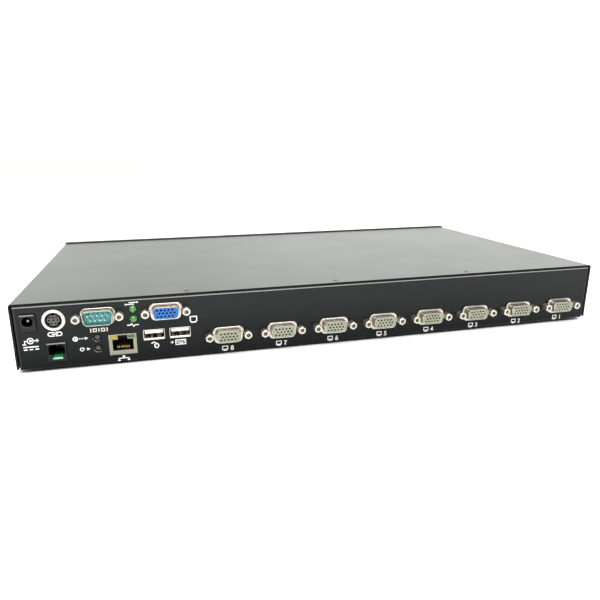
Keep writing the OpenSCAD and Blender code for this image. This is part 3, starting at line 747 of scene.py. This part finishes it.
class Print:
    """White marks on a panel. To someone facing it, u runs right and v up, from a mark's own middle."""

    def __init__(self, x, level, plane=panel_y, way=1):
        """A mark at x, level millimetres above the case's underside.

        The panel's face is at y = plane, and looks along +Y if way is 1 and along -Y if it is -1.
        """
        self.x, self.z = x, case_low + level
        self.plane, self.way = plane, way
        self.points, self.faces = [], []

    def place(self, u, v, height):
        return (self.x - self.way * u, self.plane + self.way * height, self.z + v)

    def slab(self, edge):
        """A flat shape within an outline, standing a little proud of the panel."""
        first, count = len(self.points), len(edge)
        for height in (INK_BACK, INK_FRONT):
            self.points += [self.place(u, v, height) for u, v in edge]
        self.faces.append([first + i for i in range(count)])
        self.faces.append([first + count + i for i in range(count)])
        for i in range(count):
            j = (i + 1) % count
            self.faces.append([first + i, first + j, first + count + j, first + count + i])

    def bar(self, u, v, width, height):
        self.slab(rectangle(u, v, width, height))

    def dot(self, u, v, radius, sides=20):
        turns = [2 * math.pi * i / sides for i in range(sides)]
        self.slab([(u + radius * math.cos(a), v + radius * math.sin(a)) for a in turns])

    def line(self, path, width):
        """A line of that width through the points of path, with its corners mitred.

        It is a closed loop if the path ends where it starts.
        """
        points = [Vector(p) for p in path]
        closed = (points[0] - points[-1]).length < 1e-6
        if closed:
            points.pop()
        count = len(points)
        left, right = [], []
        for i, point in enumerate(points):
            before = points[i - 1] if closed or i > 0 else point
            after = points[(i + 1) % count] if closed or i < count - 1 else point
            steps = (point - before, after - point)
            ways = [step.normalized() for step in steps if step.length > 1e-9]
            normals = [Vector((-way.y, way.x)) for way in ways]
            mitre = sum(normals, Vector((0, 0))).normalized()
            offset = mitre * (width / 2 / max(mitre.dot(normals[0]), 0.4))
            left.append(point + offset)
            right.append(point - offset)
        for i in range(count if closed else count - 1):
            j = (i + 1) % count
            self.slab([left[i], left[j], right[j], right[i]])

    def arc(self, u, v, radius, width, start=0, end=360, steps=24):
        turns = [math.radians(start + (end - start) * i / steps) for i in range(steps + 1)]
        self.line([(u + radius * math.cos(a), v + radius * math.sin(a)) for a in turns], width)

    def box(self, u, v, width, height, stroke):
        corners = rectangle(u, v, width, height)
        self.line(corners + corners[:1], stroke)

    def numeral(self, digit, u, v, height):
        """A plain digit with its middle at u, v."""
        text = bpy.data.curves.new("digit", "FONT")
        text.body = str(digit)
        text.offset = 0.025
        text.extrude = 0.1
        made = bpy.data.objects.new("digit", text)
        mesh = bpy.data.meshes.new_from_object(made)
        spots = [vertex.co for vertex in mesh.vertices]
        left, right = min(p.x for p in spots), max(p.x for p in spots)
        low, high = min(p.y for p in spots), max(p.y for p in spots)
        scale = height / (high - low)
        first = len(self.points)
        for p in spots:
            across = u + (p.x - (left + right) / 2) * scale
            up = v + (p.y - (low + high) / 2) * scale
            self.points.append(self.place(across, up, INK_FRONT if p.z > 0 else INK_BACK))
        self.faces += [[first + i for i in face.vertices] for face in mesh.polygons]
        bpy.data.objects.remove(made)
        bpy.data.curves.remove(text)
        bpy.data.meshes.remove(mesh)

    def finish(self, name):
        finished_piece(name, self.points, self.faces, ink)


def port_mark(port):
    """A small screen beside the port's number."""
    mark = Print(middle(f"pc_port_shell_{port}").x, 2.4)
    mark.box(-2.4, 0.35, 3.3, 2.2, 0.6)
    mark.bar(-2.4, -1.45, 2.4, 0.55)
    mark.numeral(port, 2.3, 0, 3.3)
    mark.finish(f"mark_port_{port}")


def button_mark(port):
    """The port's number between its two lights, in the recess of the control panel."""
    recess = 0.6
    level = middle("port_leds").z - case_low
    mark = Print(middle(f"port_button_{port}").x, level, bezel_y + recess, -1)
    mark.numeral(port, 0, 0, 3.2)
    mark.finish(f"mark_button_{port}")


def power_mark():
    """Centre-positive polarity, over the sign for direct current."""
    mark = Print(193.4, 17.2)
    mark.arc(0, 1.4, 1.7, 0.55, 20, 340)
    mark.dot(0, 1.4, 0.75)
    mark.bar(1.6, 1.4, 2.2, 0.5)
    mark.bar(3.7, 1.4, 2.0, 0.55)
    mark.bar(3.7, 1.4, 0.55, 2.0)
    mark.line([(-1.6, 1.4), (-3.2, 1.4), (-3.2, -0.2)], 0.5)
    mark.bar(-3.6, -0.7, 2.0, 0.6)
    mark.bar(0, -2.4, 8.4, 0.7)
    for u in (-3.2, 0, 3.2):
        mark.bar(u, -4.0, 2.0, 0.7)
    mark.finish("mark_power")


def link_mark():
    """Two links of a chain."""
    mark = Print(179.3, 21.7)
    for side in (-1, 1):
        mark.line([(side * 0.3, 1.1), (side * 3.1, 1.1), (side * 3.8, 0.5), (side * 3.8, -0.5),
                   (side * 3.1, -1.1), (side * 0.3, -1.1)], 0.6)
    mark.bar(0, 0, 3.4, 0.6)
    mark.finish("mark_link")


def serial_mark():
    """Marks and spaces of a serial line."""
    mark = Print(154.2, 22.1)
    for u in (-4.8, 0, 4.8):
        mark.bar(u, 0, 0.65, 2.4)
    for u in (-2.4, 2.4):
        mark.box(u, 0, 1.8, 1.8, 0.6)
    mark.finish("mark_serial")


def setup_mark():
    """A globe, and a pointer to its button."""
    mark = Print(165.1, 17.4)
    mark.arc(-3.2, 0, 1.3, 0.5)
    mark.bar(-3.2, 0, 2.4, 0.36)
    mark.bar(-3.2, 0, 0.36, 2.4)
    for u in (-0.6, 0.9):
        mark.bar(u, 0, 0.9, 0.5)
    mark.slab([(2.2, 0.9), (2.2, -0.9), (4.2, 0)])
    mark.finish("mark_setup")


def reset_mark():
    """An arrow that turns back, and a pointer to its button."""
    mark = Print(163.2, 10.4)
    mark.arc(-1.9, 0, 1.0, 0.45, 60, 360)
    mark.slab([(-1.7, 0.2), (-0.1, 0.2), (-0.9, 1.1)])
    mark.slab([(1.0, 0.9), (1.0, -0.9), (3.0, 0)])
    mark.finish("mark_reset")


def network_mark():
    """Three stations on one line."""
    mark = Print(141.1, 2.3)
    mark.bar(0, 0, 6.6, 0.55)
    for u in (-2.9, 0, 2.9):
        v = 0.9 if u == 0 else -0.9
        mark.bar(u, v / 2, 0.55, abs(v))
        mark.bar(u, v * 1.35, 1.5, 0.9)
    mark.finish("mark_network")


def activity_mark():
    """Arrows both ways, above the upper light."""
    mark = Print(133.9, 37.4)
    for side in (-1, 1):
        mark.bar(side * 1.0, side * 0.55, 5.0, 0.55)
        mark.slab([(side * 3.2, side * 1.2), (side * 3.2, -side * 0.1), (side * 4.3, side * 0.55)])
    mark.finish("mark_activity")


def status_mark():
    """A steady beat, below the lower light."""
    mark = Print(134.0, 23.5)
    mark.line([(-3.5, 0), (-1.6, 0), (-0.8, 0.9), (0.4, -0.9), (1.2, 0), (3.5, 0)], 0.6)
    mark.finish("mark_status")


def mouse_mark():
    mark = Print(121.8, 9.2)
    mark.line([(1.6, -1.9), (2.3, -1.1), (2.3, 0.1), (1.6, 0.9), (0.6, 0.9), (-0.1, 0.1), (-0.1, -1.1),
               (0.6, -1.9), (1.6, -1.9)], 0.55)
    mark.bar(1.1, 0.3, 0.4, 1.1)
    mark.line([(0.6, 1.0), (0.2, 1.7), (-0.8, 1.8), (-1.4, 1.2), (-2.2, 1.3)], 0.55)
    mark.finish("mark_mouse")


def keyboard_mark():
    mark = Print(107.0, 9.7)
    mark.bar(-4.0, 0.1, 1.8, 0.5)
    mark.bar(-4.0, 0.1, 0.5, 1.8)
    mark.box(1.3, -0.1, 6.2, 3.0, 0.5)
    for row in (0.55, -0.15):
        for key in range(5):
            mark.bar(-0.9 + 1.1 * key, row, 0.6, 0.4)
    mark.bar(1.3, -0.85, 3.0, 0.4)
    mark.finish("mark_keyboard")


def monitor_mark():
    mark = Print(96.9, 24.0)
    mark.line([(-2.0, 1.9), (2.0, 1.9), (2.0, -0.9), (1.2, -1.8), (-1.2, -1.8), (-2.0, -0.9),
               (-2.0, 1.9)], 0.7)
    mark.finish("mark_monitor")


for port in PORTS:
    port_mark(port)
    button_mark(port)
for draw in (
    power_mark, link_mark, serial_mark, setup_mark, reset_mark, network_mark,
    activity_mark, status_mark, mouse_mark, keyboard_mark, monitor_mark,
):
    draw()


# ---- studio ----


def floor():
    bpy.ops.mesh.primitive_plane_add(size=40, location=(0, 0, cad_low.z))
    plane = bpy.context.object
    plane.name = "floor"
    look = Finish("floor_paper", {"Specular IOR Level": 0.2})
    look.color(look.noise(200, detail=2), (0.88, 0.88, 0.88), (0.92, 0.92, 0.92))
    look.roughness(look.noise(50), 0.85, 0.95)
    plane.data.materials.append(look.material)


def area_light(name, place, target, size, power, color=(1, 1, 1)):
    data = bpy.data.lights.new(name, "AREA")
    data.shape = "RECTANGLE"
    data.size, data.size_y = size
    data.energy = power
    data.color = color
    light = bpy.data.objects.new(name, data)
    bpy.context.scene.collection.objects.link(light)
    light.location = place
    light.rotation_euler = (Vector(target) - Vector(place)).to_track_quat("-Z", "Y").to_euler()


def sky():
    """White walls beyond the control panel, and a dim warm room on the socket side.

    The walls have a greyer patch straight beyond the panel, and everything is brighter towards -X.
    """
    world = bpy.data.worlds.new("studio")
    world.use_nodes = True
    tree = world.node_tree
    direction = tree.nodes.new("ShaderNodeTexCoord").outputs["Generated"]
    split = tree.nodes.new("ShaderNodeSeparateXYZ")
    tree.links.new(direction, split.inputs["Vector"])
    along = tree.nodes.new("ShaderNodeMapRange")
    along.inputs["From Min"].default_value = -1
    tree.links.new(split.outputs["Y"], along.inputs["Value"])
    ramp = tree.nodes.new("ShaderNodeValToRGB")
    tree.links.new(along.outputs["Result"], ramp.inputs["Fac"])
    walls = (
        (0.0, (0.56, 0.58, 0.54)), (0.02, (0.92, 0.94, 0.9)), (0.3, (0.8, 0.8, 0.78)),
        (0.5, (0.42, 0.42, 0.41)), (0.72, (0.1, 0.09, 0.08)),
    )
    stops = ramp.color_ramp.elements
    while len(stops) < len(walls):
        stops.new(0.5)
    for stop, (place, color) in zip(stops, walls):
        stop.position = place
        stop.color = (*color, 1)
    across = tree.nodes.new("ShaderNodeMapRange")
    for socket, value in (("From Min", -1), ("From Max", 1), ("To Min", 2.75), ("To Max", 1.95)):
        across.inputs[socket].default_value = value
    tree.links.new(split.outputs["X"], across.inputs["Value"])
    background = tree.nodes["Background"]
    tree.links.new(across.outputs["Result"], background.inputs["Strength"])
    tree.links.new(ramp.outputs["Color"], background.inputs["Color"])
    bpy.context.scene.world = world


def studio():
    sky()
    area_light("top_softbox", (0, -0.2, 1.2), (0, 0, 0), size=(1.6, 1.2), power=10)
    area_light("key_softbox", (0.1, 0.85, 1.05), (0, 0.1, 0), size=(1.4, 0.5), power=22)
    bpy.context.scene.view_settings.view_transform = "Standard"


def camera():
    """The view from behind the case, a little above it and left of its middle as seen from there."""
    eye = Vector((0.1154, 0.4255, 0.1285))
    yaw, pitch, roll = math.radians(13.75), math.radians(15.2), math.radians(-0.43)
    aim = Vector((-math.sin(yaw) * math.cos(pitch), -math.cos(yaw) * math.cos(pitch), -math.sin(pitch)))
    data = bpy.data.cameras.new("camera")
    data.lens = 31.08
    data.sensor_width = 36
    data.shift_x, data.shift_y = 0.0267, -0.0128
    data.clip_start, data.clip_end = 0.01, 50
    viewer = bpy.data.objects.new("camera", data)
    viewer.location = eye
    viewer.rotation_mode = "QUATERNION"
    viewer.rotation_quaternion = aim.to_track_quat("-Z", "Y") @ Quaternion((0, 0, 1), roll)
    bpy.context.scene.collection.objects.link(viewer)
    bpy.context.scene.camera = viewer


floor()
studio()
camera()
